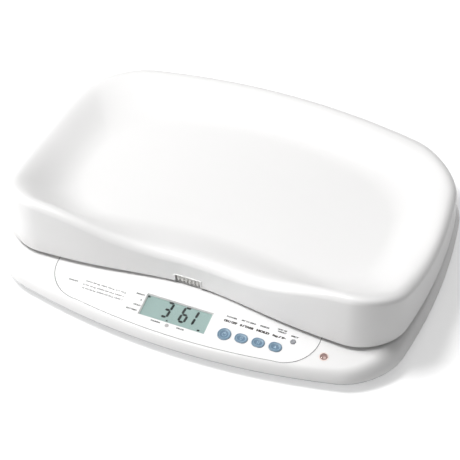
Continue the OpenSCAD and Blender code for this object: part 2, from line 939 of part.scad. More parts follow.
// A cell lies along Y, with its nub to the front or, turned, to the rear
module battery(i) {
  turned = i % 2 == 1;
  shift = turned ? bay_l - 2 - battery_l : 0;
  translate([battery_px(i), battery_y0 + shift + (turned ? battery_l : 0), cell_mid_z])
    rotate([turned ? 90 : -90, 0, 0]) {
      cylinder(d = nub_d, h = battery_l);
      translate([0, 0, nub_h])
        cylinder(d = battery_d, h = battery_l - nub_h);
    }
}

module battery_cells() {
  color("goldenrod")
    for (i = [0:battery_n - 1])
      battery(i);
}

// A flat contact at each nub and a coil, drawn as its envelope, at each flat end
module battery_contacts() {
  coil_l = bay_l - battery_l - 2 - snug;
  color("silver")
    for (i = [0:battery_n - 1]) {
      turned = i % 2 == 1;
      front = bay_y - bay_l / 2 + snug;
      rear = bay_y + bay_l / 2 - snug;
      translate([battery_px(i) - contact_w / 2, turned ? rear - contact_t : front,
        cell_mid_z - contact_w / 2])
        cube([contact_w, contact_t, contact_w]);
      translate([battery_px(i), turned ? front : rear, cell_mid_z])
        rotate([turned ? -90 : 90, 0, 0])
          cylinder(d1 = contact_w, d2 = coil_d, h = coil_l + 0.7);
    }
}

// ---- Feet ----

rubber_h = 1.8;

module foot(p) {
  color("gray")
    translate([p.x, p.y, rubber_h]) {
      difference() {
        cylinder(d = foot_d, h = ground_gap - rubber_h - slip);
        for (a = [0:15:345])
          rotate([0, 0, a])
            translate([foot_d / 2 + 0.6, 0, -1])
              cylinder(d = 2.4, h = ground_gap, $fn = 16);
      }
      cylinder(d = stem_d, h = ground_gap - rubber_h + boss_h - 1);
    }
}

module foot_pad(p) {
  color("dimgray")
    translate([p.x, p.y, 0])
      cylinder(d = foot_d - 6, h = rubber_h);
}

module foot_front_left() { foot(foot_places[0]); }
module foot_front_right() { foot(foot_places[1]); }
module foot_rear_left() { foot(foot_places[2]); }
module foot_rear_right() { foot(foot_places[3]); }
module pad_front_left() { foot_pad(foot_places[0]); }
module pad_front_right() { foot_pad(foot_places[1]); }
module pad_rear_left() { foot_pad(foot_places[2]); }
module pad_rear_right() { foot_pad(foot_places[3]); }

// ---- Assembly ----

base_housing();
base_cover();
panel_overlay();
display_window();
display_glass();
display_frame();
circuit_board();
key_switches();
board_screws();
key_1();
key_2();
key_3();
key_4();
key_small();
level_case();
level_lens();
load_cell();
cell_spacers();
cell_bolts();
platform();
platform_pads();
locating_tab();
overload_stops();
tray();
tray_ribs();
battery_door();
battery_cells();
battery_contacts();
foot_front_left();
foot_front_right();
foot_rear_left();
foot_rear_right();
pad_front_left();
pad_front_right();
pad_rear_left();
pad_rear_right();
housing_screws();
power_jack();
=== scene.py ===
# %% [markdown]
# # A digital baby weighing scale
# The object is a low white base with a tilted console in front, and a white moulded tray that
# lies on it and lifts off. Every size here is in millimetres and becomes metres only where a
# mesh is made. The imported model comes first, as a fixed frame: a node whose shape is already
# right keeps it and only gets a finish, and the large moulded forms are made again, smoother.
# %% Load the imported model
import math

import bmesh
import bpy
from mathutils import Matrix, Vector


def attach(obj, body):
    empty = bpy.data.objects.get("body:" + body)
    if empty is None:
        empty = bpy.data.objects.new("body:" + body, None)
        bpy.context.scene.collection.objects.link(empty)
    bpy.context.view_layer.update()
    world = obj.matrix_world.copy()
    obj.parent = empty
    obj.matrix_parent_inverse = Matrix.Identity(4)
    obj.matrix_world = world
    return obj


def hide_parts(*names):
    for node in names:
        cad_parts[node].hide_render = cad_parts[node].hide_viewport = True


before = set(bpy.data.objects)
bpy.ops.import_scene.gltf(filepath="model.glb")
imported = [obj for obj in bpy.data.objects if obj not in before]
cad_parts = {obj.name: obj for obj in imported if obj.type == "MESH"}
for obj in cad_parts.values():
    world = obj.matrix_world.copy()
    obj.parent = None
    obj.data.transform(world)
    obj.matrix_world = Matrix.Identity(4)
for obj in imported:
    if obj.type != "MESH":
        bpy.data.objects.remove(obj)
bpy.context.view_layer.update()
MM = 0.001

# %% [markdown]
# ## The camera
# The photograph looks down on the scale from the front and a little from the right, through a
# long lens. Its middle doesn't fall on the scale's middle, and a small shift moves the picture
# without turning the camera.
# %% Stand the camera
turn, rise, distance = math.radians(22.0), math.radians(46.9), 1.969
picture_px, lens_px, shift_px, sensor_mm = 460, 1538, (-1.9, 7.8), 36.0

back = Vector((math.sin(turn) * math.cos(rise), -math.cos(turn) * math.cos(rise), math.sin(rise)))
camera = bpy.data.objects.new("photo_view", bpy.data.cameras.new("photo_view"))
bpy.context.collection.objects.link(camera)
camera.location = back * distance
camera.rotation_euler = (-back).to_track_quat("-Z", "Y").to_euler()
camera.data.sensor_width = sensor_mm
camera.data.lens = sensor_mm * lens_px / picture_px
camera.data.shift_x, camera.data.shift_y = [px / picture_px for px in shift_px]
bpy.context.scene.camera = camera
print("camera at", [round(c, 3) for c in camera.location])

# %% [markdown]
# ## Floor
# The photograph is a studio picture on white, and a wide plane is the floor. The plane is a
# plain pale paper that takes the scale's shadow. Its white for the camera and for reflections
# comes from a little glow in its own material, which adds no light to the object's whites. The
# glow grows away from the scale, where the lamps no longer reach the paper.
# %% Make the floor
bpy.context.scene.view_settings.view_transform = "Standard"
floor_size, floor_z, paper_tone = 16, -0.0006, 0.8
glow_range = {"From Min": 0.7, "From Max": 2.6, "To Min": 0.42, "To Max": 1.0}


def new_material(name):
    """An empty node material, its tree and its output."""
    made = bpy.data.materials.new(name)
    made.use_nodes = True
    tree = made.node_tree
    tree.nodes.clear()
    return made, tree, tree.nodes.new("ShaderNodeOutputMaterial")


bpy.ops.object.select_all(action="DESELECT")
bpy.ops.mesh.primitive_plane_add(size=floor_size, location=(0, 0, floor_z))
floor = bpy.context.object
floor.name = "studio_floor"
paper, tree, out = new_material("white_paper")
matt = tree.nodes.new("ShaderNodeBsdfDiffuse")
matt.inputs["Color"].default_value = (paper_tone, paper_tone, paper_tone, 1)
glow = tree.nodes.new("ShaderNodeEmission")
glow.inputs["Color"].default_value = (1, 1, 1, 1)
place = tree.nodes.new("ShaderNodeTexCoord")
away = tree.nodes.new("ShaderNodeVectorMath")
away.operation = "LENGTH"
fade = tree.nodes.new("ShaderNodeMapRange")
for socket, value in glow_range.items():
    fade.inputs[socket].default_value = value
tree.links.new(place.outputs["Object"], away.inputs[0])
tree.links.new(away.outputs["Value"], fade.inputs["Value"])
tree.links.new(fade.outputs["Result"], glow.inputs["Strength"])
both = tree.nodes.new("ShaderNodeAddShader")
seen = tree.nodes.new("ShaderNodeLightPath")
either = tree.nodes.new("ShaderNodeMath")
either.operation = "MAXIMUM"
pick = tree.nodes.new("ShaderNodeMixShader")
tree.links.new(matt.outputs[0], both.inputs[0])
tree.links.new(glow.outputs[0], both.inputs[1])
tree.links.new(seen.outputs["Is Camera Ray"], either.inputs[0])
tree.links.new(seen.outputs["Is Glossy Ray"], either.inputs[1])
tree.links.new(either.outputs[0], pick.inputs["Fac"])
tree.links.new(matt.outputs[0], pick.inputs[1])
tree.links.new(both.outputs[0], pick.inputs[2])
tree.links.new(pick.outputs[0], out.inputs["Surface"])
floor.data.materials.append(paper)
print("floor laid, metres across:", floor_size)

# %% [markdown]
# ## Light
# The key lamp hangs high up, a little to the left and in front, so the basin is the brightest
# place and the front wall falls into grey. A weak lamp above softens the shadows, and a low one
# at the front left lifts the wall at that end. The world adds a little light from all sides,
# and shows white where the camera looks past the floor.
# %% Hang the lamps
world_level, white_level = 0.2, 1.0
lamps = [  # name, place, aim, width in metres, watts
    ("key_light", (-0.85, -0.35, 2.0), (0, 0, 0.05), 0.6, 39),
    ("top_light", (0.4, 0.5, 2.4), (0, 0, 0.05), 1.2, 6),
    ("left_light", (-1.85, -1.45, 0.7), (-0.2, -0.1, 0.05), 0.9, 15),
]

world = bpy.data.worlds.new("studio")
world.use_nodes = True
room = world.node_tree
sky = room.nodes["Background"]
sky.inputs["Color"].default_value = (1, 1, 1, 1)
sky.inputs["Strength"].default_value = world_level
plain = room.nodes.new("ShaderNodeBackground")
plain.inputs["Strength"].default_value = white_level
path = room.nodes.new("ShaderNodeLightPath")
swap = room.nodes.new("ShaderNodeMixShader")
room.links.new(path.outputs["Is Camera Ray"], swap.inputs["Fac"])
room.links.new(sky.outputs[0], swap.inputs[1])
room.links.new(plain.outputs[0], swap.inputs[2])
room.links.new(swap.outputs[0], room.nodes["World Output"].inputs["Surface"])
bpy.context.scene.world = world


def softbox(name, place, aim, size, watts):
    """A square area light at place, turned towards aim."""
    lamp = bpy.data.lights.new(name, "AREA")
    lamp.shape = "SQUARE"
    lamp.size = size
    lamp.energy = watts
    holder = bpy.data.objects.new(name, lamp)
    bpy.context.collection.objects.link(holder)
    holder.location = place
    holder.rotation_euler = (Vector(place) - Vector(aim)).to_track_quat("Z", "Y").to_euler()


for lamp in lamps:
    softbox(*lamp)
print("lamps hung:", len(lamps))

# %% [markdown]
# ## Plastics
# Most of the scale is injection-moulded. A moulding is never one flat tone: its tint drifts
# very slightly, its gloss changes where the mould was polished, and the surface has a faint
# ripple. One helper gives each plastic those three traits, and the values make the difference
# between a polished shell, a grained cover and a rubber foot. A stretched grain makes brushed
# metal of it.
# %% Mould a plastic
tint_scale, wear_scale, wear_share, ripple, coat_gloss = 14.0, 45.0, 2.5, 0.0004, 0.12


def speckle(tree, scale, detail, stretch=(1, 1, 1)):
    """A noise on the piece's own coordinates, in features per metre."""
    place = tree.nodes.new("ShaderNodeTexCoord")
    sized = tree.nodes.new("ShaderNodeMapping")
    sized.inputs["Scale"].default_value = stretch
    noise = tree.nodes.new("ShaderNodeTexNoise")
    noise.inputs["Scale"].default_value = scale
    noise.inputs["Detail"].default_value = detail
    tree.links.new(place.outputs["Object"], sized.inputs["Vector"])
    tree.links.new(sized.outputs["Vector"], noise.inputs["Vector"])
    return noise


def tone(tree, source, low, high):
    """Turns a noise, which seldom leaves 0.3 to 0.7, into a value between low and high."""
    ramp = tree.nodes.new("ShaderNodeMapRange")
    ramp.inputs["From Min"].default_value = 0.3
    ramp.inputs["From Max"].default_value = 0.7
    ramp.inputs["To Min"].default_value = low
    ramp.inputs["To Max"].default_value = high
    tree.links.new(source.outputs["Fac"], ramp.inputs["Value"])
    return ramp


def two_tone(tree, dark, pale, scale):
    """A colour that drifts between two."""
    blend = tree.nodes.new("ShaderNodeMix")
    blend.data_type = "RGBA"
    blend.inputs[6].default_value = (*dark, 1)
    blend.inputs[7].default_value = (*pale, 1)
    tree.links.new(speckle(tree, scale, 2.0).outputs["Fac"], blend.inputs[0])
    return blend


def moulded(name, colour, gloss, drift, grain, depth, coat=0.0, metal=0.0, stretch=(1, 1, 1)):
    """A plastic, rubber or metal: colour in linear red, green and blue, gloss as roughness."""
    made, tree, out = new_material(name)
    skin = tree.nodes.new("ShaderNodeBsdfPrincipled")
    tint = two_tone(tree, [c * (1 - drift) for c in colour],
                    [min(c * (1 + drift), 1) for c in colour], tint_scale)
    tree.links.new(tint.outputs[2], skin.inputs["Base Color"])
    wear = tone(tree, speckle(tree, wear_scale, 4.0, stretch), gloss * (1 - wear_share * drift),
                gloss * (1 + wear_share * drift))
    tree.links.new(wear.outputs["Result"], skin.inputs["Roughness"])
    bump = tree.nodes.new("ShaderNodeBump")
    bump.inputs["Strength"].default_value = depth
    bump.inputs["Distance"].default_value = ripple
    tree.links.new(speckle(tree, grain, 2.0, stretch).outputs["Fac"], bump.inputs["Height"])
    tree.links.new(bump.outputs["Normal"], skin.inputs["Normal"])
    skin.inputs["Metallic"].default_value = metal
    skin.inputs["Coat Weight"].default_value = coat
    skin.inputs["Coat Roughness"].default_value = coat_gloss
    tree.links.new(skin.outputs[0], out.inputs["Surface"])
    return made


shell_white = moulded("shell_white", (0.885, 0.88, 0.876), 0.33, 0.004, 260, 0.01)
# The housing's white is the tray's white made a little darker, as painted shade on the deck and
# console, which the lamps light more strongly than the basin.
shaded_housing_white = moulded("shaded_housing_white", (0.85, 0.845, 0.841), 0.35, 0.004, 260, 0.01)
print("polished plastics mixed:", shell_white.name, shaded_housing_white.name)

# %% [markdown]
# ## The other finishes
# The cover is grained so that scratches don't show, the film's grain is very fine, and the keys
# are soft to the touch, with a painted highlight in a paler blue on the rim. The print is ink,
# which is matt. The platform is brushed steel and the load cell milled aluminium, so their grain
# is long in one direction.
# %% Mix the other finishes
cover_grey = moulded("cover_grey", (0.58, 0.59, 0.60), 0.5, 0.03, 1800, 0.25)
film_white = moulded("film_white", (0.885, 0.88, 0.878), 0.36, 0.004, 2400, 0.03)
dark_plastic = moulded("dark_plastic", (0.03, 0.032, 0.035), 0.45, 0.1, 1800, 0.2)
key_blue = moulded("key_blue", (0.13, 0.215, 0.305), 0.32, 0.06, 1600, 0.06)
# A paler blue painted on the keys' rim as a highlight.
key_rim_highlight_blue = moulded("key_rim_highlight_blue", (0.26, 0.38, 0.48), 0.3, 0.05, 1600, 0.05)
key_grey = moulded("key_grey", (0.30, 0.31, 0.33), 0.4, 0.05, 1600, 0.08)
foot_grey = moulded("foot_grey", (0.17, 0.175, 0.185), 0.5, 0.06, 1500, 0.25)
rubber_grey = moulded("rubber_grey", (0.035, 0.035, 0.037), 0.75, 0.15, 900, 0.5)
plate_steel = moulded("plate_steel", (0.55, 0.56, 0.58), 0.36, 0.08, 500, 0.1, 0, 1, (0.05, 1, 1))
screw_steel = moulded("screw_steel", (0.50, 0.50, 0.52), 0.3, 0.1, 900, 0.15, 0, 1)
cell_alu = moulded("cell_alu", (0.66, 0.67, 0.70), 0.34, 0.05, 700, 0.12, 0, 1, (0.06, 1, 1))
nickel = moulded("nickel", (0.72, 0.70, 0.66), 0.18, 0.05, 900, 0.05, 0, 1)
board_green = moulded("board_green", (0.012, 0.12, 0.05), 0.35, 0.2, 600, 0.1, 0.3)
ink_grey = moulded("ink_grey", (0.035, 0.033, 0.035), 0.5, 0.08, 3000, 0.02)
ink_pale = moulded("ink_pale", (0.12, 0.115, 0.12), 0.5, 0.06, 3000, 0.02)
ink_brown = moulded("ink_brown", (0.035, 0.028, 0.024), 0.5, 0.08, 3000, 0.02)
ink_dark = moulded("ink_dark", (0.05, 0.05, 0.055), 0.5, 0.1, 3000, 0.02)
segment_black = moulded("segment_black", (0.002, 0.004, 0.004), 0.7, 0.2, 3000, 0.01)
cell_wrap = moulded("cell_wrap", (0.50, 0.36, 0.07), 0.28, 0.08, 900, 0.05, 0.4)
print("materials so far:", len(bpy.data.materials))

# %% [markdown]
# ## Display and lenses
# The display is a grey-green liquid crystal with a very fine grid in it, behind a clear
# window. The window and the level's lens are see-through by their alpha, so the light still
# reaches what lies under them.
# %% Clear and tinted plastic
acrylic_ior = 1.49
cloud_scale, line_scale, line_relief = 22.0, 1600.0, 0.0001


def clear_plastic(name, colour, alpha):
    """A smooth see-through plastic with a faint ripple in it."""
    made = moulded(name, colour, 0.06, 0.02, 180, 0.02)
    for node in made.node_tree.nodes:
        if node.type == "BSDF_PRINCIPLED":
            node.inputs["Alpha"].default_value = alpha
            node.inputs["IOR"].default_value = acrylic_ior
    return made


def liquid_crystal(name, dark, pale):
    """A matt, softly clouded colour with a grid of fine lines across it."""
    made, tree, out = new_material(name)
    skin = tree.nodes.new("ShaderNodeBsdfPrincipled")
    skin.inputs["Roughness"].default_value = 0.4
    cloud = two_tone(tree, dark, pale, cloud_scale)
    tree.links.new(cloud.outputs[2], skin.inputs["Base Color"])
    lines = tree.nodes.new("ShaderNodeTexWave")
    lines.inputs["Scale"].default_value = line_scale
    place = tree.nodes.new("ShaderNodeTexCoord")
    tree.links.new(place.outputs["Object"], lines.inputs["Vector"])
    grid = tree.nodes.new("ShaderNodeBump")
    grid.inputs["Strength"].default_value = 0.04
    grid.inputs["Distance"].default_value = line_relief
    tree.links.new(lines.outputs["Fac"], grid.inputs["Height"])
    tree.links.new(grid.outputs["Normal"], skin.inputs["Normal"])
    tree.links.new(skin.outputs[0], out.inputs["Surface"])
    return made


window_clear = clear_plastic("window_clear", (0.20, 0.24, 0.23), 0.05)
lens_red = clear_plastic("lens_red", (0.66, 0.46, 0.43), 0.28)
liquid_red = moulded("liquid_red", (0.27, 0.165, 0.15), 0.25, 0.1, 900, 0.03)
ring_pink = moulded("ring_pink", (0.86, 0.74, 0.70), 0.3, 0.03, 900, 0.03)
bubble_pale = moulded("bubble_pale", (0.93, 0.80, 0.74), 0.1, 0.02, 900, 0.01)
crystal = liquid_crystal("crystal_green", (0.315, 0.45, 0.425), (0.385, 0.52, 0.495))
print("display and lenses mixed:", crystal.name, window_clear.name, lens_red.name)

# %% [markdown]
# ## How the moulded forms are made
# The tray, the housing, the keys and the lens are all lofts: an outline that goes round once
# and changes as it climbs. By hand that is a circle whose points are pulled onto the first
# outline, then extruded and pulled onto the next one, again and again. The helper below does
# exactly that. Each point of the circle remembers its number, and the extrude carries it on.
# %% Loft a piece from ring to ring
merge_gap = 1e-6


def select_alone(piece):
    """Selects one piece alone in object mode."""
    bpy.ops.object.select_all(action="DESELECT")
    piece.select_set(True)
    bpy.context.view_layer.objects.active = piece


def edit(piece):
    """Selects one piece alone and opens it in edit mode."""
    select_alone(piece)
    bpy.ops.object.mode_set(mode="EDIT")


def loft(name, rings, caps="both"):
    """Extrudes a circle of points from ring to ring, and closes both ends, the last or none."""
    bpy.ops.object.select_all(action="DESELECT")
    bpy.ops.mesh.primitive_circle_add(vertices=len(rings[0]), radius=0.01, location=(0, 0, 0))
    piece = bpy.context.object
    piece.name = name
    edit(piece)
    shape = bmesh.from_edit_mesh(piece.data)
    number = shape.verts.layers.int.new("number")
    shape.verts.ensure_lookup_table()
    for i in range(len(rings[0])):
        shape.verts[i][number] = i
    for k, ring in enumerate(rings):
        if k:
            bpy.ops.mesh.extrude_edges_move()
        shape = bmesh.from_edit_mesh(piece.data)
        number = shape.verts.layers.int["number"]
        for point in shape.verts:
            if point.select:
                point.co = Vector(ring[point[number]]) * MM
        bmesh.update_edit_mesh(piece.data)
    if caps != "none":
        bpy.ops.mesh.edge_face_add()
    if caps == "both":
        bpy.ops.mesh.select_all(action="DESELECT")
        bpy.ops.mesh.select_non_manifold()
        bpy.ops.mesh.edge_face_add()
    bpy.ops.mesh.select_all(action="SELECT")
    bpy.ops.mesh.remove_doubles(threshold=merge_gap)
    bpy.ops.mesh.normals_make_consistent(inside=False)
    bpy.ops.object.mode_set(mode="OBJECT")
    return piece


print("lofts merge points closer than", merge_gap, "m")

# %% [markdown]
# ## The outlines
# Base and tray share one family of outlines: a rounded rectangle whose four sides bow out a
# little. The tray's front is also drawn in at its middle, which gives the console its room.
# %% Rounded and bowed outlines
base_w, base_d, base_corner_r, least_base_r = 550.0, 415.0, 50.0, 10.0
side_bow, end_bow = 38.0, 20.0
tray_x1, tray_y0, tray_y1 = 270.0, -147.5, 202.5
tray_front_r, tray_rear_r, least_tray_r = 52.0, 66.0, 42.0
waist, waist_w = 20.0, 113.0
arc_n, long_n, short_n = 18, 40, 22


def arc(cx, cy, r, start):
    """Points on a quarter circle from an angle in degrees on."""
    angles = [math.radians(start + 90 * i / arc_n) for i in range(arc_n + 1)]
    return [(cx + r * math.cos(a), cy + r * math.sin(a)) for a in angles]


def side(p, q, n):
    """Points between two corners, without the corners."""
    return [(p[0] + (q[0] - p[0]) * i / (n + 1), p[1] + (q[1] - p[1]) * i / (n + 1))
            for i in range(1, n + 1)]


def rounded(x1, y0, y1, r0, r1):
    """A rounded rectangle with radius r0 at the front corners and r1 at the rear ones."""
    return (arc(x1 - r1, y1 - r1, r1, 0) + side((x1 - r1, y1), (r1 - x1, y1), long_n)
            + arc(r1 - x1, y1 - r1, r1, 90) + side((-x1, y1 - r1), (-x1, y0 + r0), short_n)
            + arc(r0 - x1, y0 + r0, r0, 180) + side((r0 - x1, y0), (x1 - r0, y0), long_n)
            + arc(x1 - r0, y0 + r0, r0, 270) + side((x1, y0 + r0), (x1, y1 - r1), short_n))


def bowed(x1, y0, y1, r0, r1, front_bow, draw_in):
    """The same with its sides bowed outwards and its front drawn in."""
    points = []
    for x, y in rounded(x1, y0, y1, r0, r1):
        u, w = x / x1, (2 * y - y0 - y1) / (y1 - y0)
        push = (side_bow if w > 0 else front_bow) * (1 - u * u)
        pull = draw_in * math.exp(-(x / waist_w) ** 2) if w < 0 else 0.0
        points.append((x + end_bow * u * (1 - w * w), y + w * (push - pull)))
    return points


def base_outline(d):
    """The base's outline, set in by d from its widest line."""
    r = max(base_corner_r - d, least_base_r)
    return bowed(base_w / 2 - end_bow - d, side_bow - base_d / 2 + d, base_d / 2 - side_bow - d,
                 r, r, side_bow, 0)


def tray_outline(d):
    """The tray's outline, set in by d from its outer wall."""
    return bowed(tray_x1 - end_bow - d, tray_y0 + d, tray_y1 - side_bow - d,
                 max(tray_front_r - d, least_tray_r), max(tray_rear_r - d, least_tray_r),
                 0, waist)


def level_ring(outline, z):
    """The outline at one height."""
    return [(x, y, z) for x, y in outline]


print("outline points:", len(tray_outline(0)))

# %% [markdown]
# ## The tray
# The tray is one thin moulding: a wall that leans in a little, a broad rolled rim, and a slope
# that runs down to a flat floor. Its rim climbs into two corners at the front and dips between
# them. The same rings as in the solid are used, only closer together, with a small radius
# added round the lower edge. The rings start under the floor, climb under the slope, come down
# inside the wall, turn round the lower edge, climb the outside, roll over the rim and run down
# the slope to the floor.
# %% Loft the tray
tray_z, tray_floor_z, rim_z, tray_t = 42.0, 60.0, 85.0, 3.0
draft, rim_r, slope_w, edge_r = 2.4, 10.0, 62.0, 0.9
ear_h, ear_w, front_dip, ear_from, ear_len = 38.0, 140.0, 6.0, 20.0, 160.0
rim_flat, slope_ease, slope_t = 1, 0.8, 1.3 * tray_t
slope_n, roll_n = 26, 12


def rim_top(x, y):
    """Height of the rim over a point."""
    corner = 1 - math.exp(-((abs(x) / ear_w) ** 3))
    ease = 1 - math.cos(math.pi / 2 * min(max((ear_from - y) / ear_len, 0), 1))
    return rim_z + (ear_h * corner - front_dip * (1 - corner)) * ease


def rim_ring(d, drop):
    """A ring at inset d that lies below the rim's top by drop."""
    return [(x, y, rim_top(x, y) - drop) for x, y in tray_outline(d)]


def slope_ring(t, drop):
    """A ring of the slope between the rim, at 0, and the floor, at 1."""
    fall = (1 - math.cos(math.pi * t ** slope_ease)) / 2
    return [(x, y, rim_top(x, y) + (tray_floor_z - rim_top(x, y)) * fall - drop)
            for x, y in tray_outline(draft + rim_r + rim_flat + slope_w * t)]


def edge_ring(inset, side, degrees):
    """A ring of the rounded lower edge, with side 1 on the outer wall and -1 on the inner."""
    a = math.radians(degrees)
    outline = tray_outline(inset + side * edge_r * (1 - math.cos(a)))
    return level_ring(outline, tray_z + edge_r * (1 - math.sin(a)))


rings = [slope_ring(i / slope_n, tray_t if i == slope_n else slope_t)
         for i in range(slope_n, -1, -2)]
rings.append(rim_ring(draft + tray_t, rim_r + tray_t))
rings += [edge_ring(tray_t, -1, a) for a in (0, 30, 60, 90)]
rings += [edge_ring(0, 1, a) for a in (90, 60, 30, 0)]
for k in (0.25, 0.5, 0.75):
    foot = level_ring(tray_outline(draft * k), tray_z + edge_r)
    rings.append([(x, y, z + (rim_top(x, y) - rim_r - z) * k) for x, y, z in foot])
for i in range(roll_n + 1):
    a = math.pi / 2 * i / roll_n
    rings.append(rim_ring(draft + rim_r * (1 - math.cos(a)), rim_r * (1 - math.sin(a))))
rings += [slope_ring(i / slope_n, 0) for i in range(slope_n + 1)]
tray = loft("tray_shell", rings)
print("tray faces:", len(tray.data.polygons))

# %% [markdown]
# ## The notch
# A notch for the locating tab is cut into the lower front edge with a rounded block, and slim
# bars round it make the lip that stiffens it. Cutting, joining, shading and painting come back
# for every piece, so each gets a helper here.
# %% Cut the notch
slip, notch_r = 0.3, 0.8
tab_x, tab_w, tab_h, tab_y = -6.0, 32.0, 10.0, tray_y0 + waist
left, right = tab_x - tab_w / 2 - slip, tab_x + tab_w / 2 + slip


def block(name, low, high, bevel=0.0, steps=3):
    """A box between two corners, in millimetres, with rounded edges."""
    bpy.ops.object.select_all(action="DESELECT")
    bpy.ops.mesh.primitive_cube_add(size=1, location=(0, 0, 0))
    piece = bpy.context.object
    piece.name = name
    edit(piece)
    bpy.ops.transform.resize(value=[(b - a) * MM for a, b in zip(low, high)])
    bpy.ops.transform.translate(value=[(a + b) / 2 * MM for a, b in zip(low, high)])
    if bevel:
        bpy.ops.mesh.bevel(offset=bevel * MM, segments=steps, affect="EDGES")
    bpy.ops.object.mode_set(mode="OBJECT")
    return piece


def apply_modifier(piece, kind, **settings):
    """Adds a modifier with these settings and applies it."""
    select_alone(piece)
    added = piece.modifiers.new(kind.lower(), kind)
    for key, value in settings.items():
        setattr(added, key, value)
    bpy.ops.object.modifier_apply(modifier=added.name)


def cut(piece, tool):
    """Takes the tool's volume out of the piece and throws the tool away."""
    apply_modifier(piece, "BOOLEAN", operation="DIFFERENCE", object=tool, solver="EXACT")
    bpy.data.objects.remove(tool)


def smooth(piece, degrees=32):
    """Shades a piece smooth across its gentle edges."""
    select_alone(piece)
    bpy.ops.object.shade_smooth_by_angle(angle=math.radians(degrees))


def paint(piece, material):
    """Gives a piece one material."""
    piece.data.materials.clear()
    piece.data.materials.append(material)


notch_tool = block("notch_tool", (left, tab_y - 3, tray_z - 1),
                   (right, tab_y + 9, tray_z + tab_h + 2 * slip), notch_r)
cut(tray, notch_tool)
smooth(tray, 34)
paint(tray, shell_white)
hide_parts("tray")
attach(tray, "tray")
print("notch cut, millimetres wide:", round(right - left, 1))

# %% Add the lip
lip_w, lip_back, top_proud, side_proud = 1.4, 1.5, 0.35, 0.9


def join(name, *parts):
    """Makes several pieces one."""
    bpy.ops.object.select_all(action="DESELECT")
    for part in parts:
        part.select_set(True)
    bpy.context.view_layer.objects.active = parts[0]
    bpy.ops.object.join()
    parts[0].name = name
    return parts[0]


notch_top = tray_z + tab_h
lip = join(
    "notch_lip",
    block("lip_top", (left - lip_w, tab_y - top_proud, notch_top + 0.6),
          (right + lip_w, tab_y + lip_back, notch_top + 1.4), 0.3),
    block("lip_left", (left - lip_w, tab_y - side_proud, tray_z + 0.1),
          (left, tab_y + lip_back, notch_top + 1.2), 0.4),
    block("lip_right", (right, tab_y - side_proud, tray_z + 0.1),
          (right + lip_w, tab_y + lip_back, notch_top + 1.2), 0.4),
)
smooth(lip)
paint(lip, shell_white)
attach(lip, "tray")
print("lip faces:", len(lip.data.polygons))

# %% [markdown]
# ## The housing
# The housing is a lid with a rounded shoulder. The console is a plane that slices its front at
# a slight tilt, and on the real moulding the edge where they meet is soft. So the height of
# each ring is the lower of shoulder and console, with the corner between them blended over a
# few millimetres. The deck and the console are flat faces that meet in one long crest. A cut
# on that line makes the edge, which is found by its place and its length and marked sharp.
# %% Loft the housing
part_z, deck_z, housing_h, side_lean, shell_t = 14.0, 39.0, 25.0, 20.0, 2.6
tilt, console_len, console_y = math.radians(8.0), 72.0, -195.0
console_z = deck_z - console_len * math.sin(tilt)
crest_y = console_y + console_len * math.cos(tilt)
crease_blend, crest_least = 7, 0.1


def console_top(y):
    """Height of the console's plane over a distance from the middle."""
    return console_z + (y - console_y) * math.tan(tilt)


def lower_of(a, b, soft):
    """The lower of two heights, with a blend of that width where they cross."""
    near = max(soft - abs(a - b), 0) / soft if soft > 0 else 0
    return min(a, b) - near * near * soft / 4


def housing_ring(a):
    """The shoulder at an angle a from the part line, cut by the console."""
    inset, height = side_lean * (1 - math.cos(a)), part_z + housing_h * math.sin(a)
    return [(x, y, lower_of(height, console_top(y), crease_blend * math.cos(a)))
            for x, y in base_outline(inset)]


rings = [level_ring(base_outline(inset), part_z + up)
         for inset, up in ((0.5, 0.05), (0.12, 0.3), (0, 0.8))]
rings += [housing_ring(math.radians(a)) for a in range(4, 91, 3)]
rings.append([(x, y, min(deck_z, console_top(y))) for x, y in base_outline(side_lean)])
housing = loft("housing_shell", rings, "last")
edit(housing)
bpy.ops.mesh.select_all(action="SELECT")
bpy.ops.mesh.bisect(plane_co=(0, crest_y * MM, 0), plane_no=(0, 1, 0))
shape = bmesh.from_edit_mesh(housing.data)
for line in shape.edges:
    ends = [v.co for v in line.verts]
    on_crest = all(abs(c.y - crest_y * MM) < 1e-5 for c in ends)
    line.select_set(on_crest and (ends[0] - ends[1]).length > crest_least)
bpy.ops.mesh.mark_sharp()
bpy.ops.object.mode_set(mode="OBJECT")
apply_modifier(housing, "SOLIDIFY", thickness=shell_t * MM, offset=-1)
print("housing faces:", len(housing.data.polygons))

# %% [markdown]
# ## Openings in the console
# The console carries the printed film, the window, the keys and the level, and each has its
# own opening. They are cut with tools that are modelled on the console's own plane and then
# tilted with it. A key's outline is an oval with round ends, and so is its hole.
# %% Cut the console's openings
film_half_w, film_end_r, film_top, film_inset = 172.0, 44.0, 70.5, 7.0
window_x, window_s = -4.4, 26.8
window_tools = [("window_tool", 43.1, 15.6, 1.4), ("glass_tool", 42, 14.5, 6)]  # half sizes, depth
level_at, level_hole_r = (182.2, 30.5), 5.9
tool_low, tool_high = -6, 3
keys = [  # node, middle across, middle up the console, length, width
    ("key_1", 61.2, 19.6, 16.4, 16.4), ("key_2", 82.2, 20.9, 16.0, 12.6),
    ("key_3", 103.2, 22.2, 16.0, 12.6), ("key_4", 124.2, 23.5, 16.0, 12.6),
    ("key_small", 141.4, 37.4, 6.4, 6.4),
]
console = Matrix.Translation((0, console_y * MM, console_z * MM)) @ Matrix.Rotation(tilt, 4, "X")


def on_console(piece):
    """Moves a piece that was made flat onto the tilted console."""
    piece.data.transform(console)
    return piece


def circle(radius, z, points=48, x=0.0, y=0.0):
    """A level ring of points, in millimetres."""
    turns = [2 * math.pi * i / points for i in range(points)]
    return [(x + radius * math.cos(a), y + radius * math.sin(a), z) for a in turns]


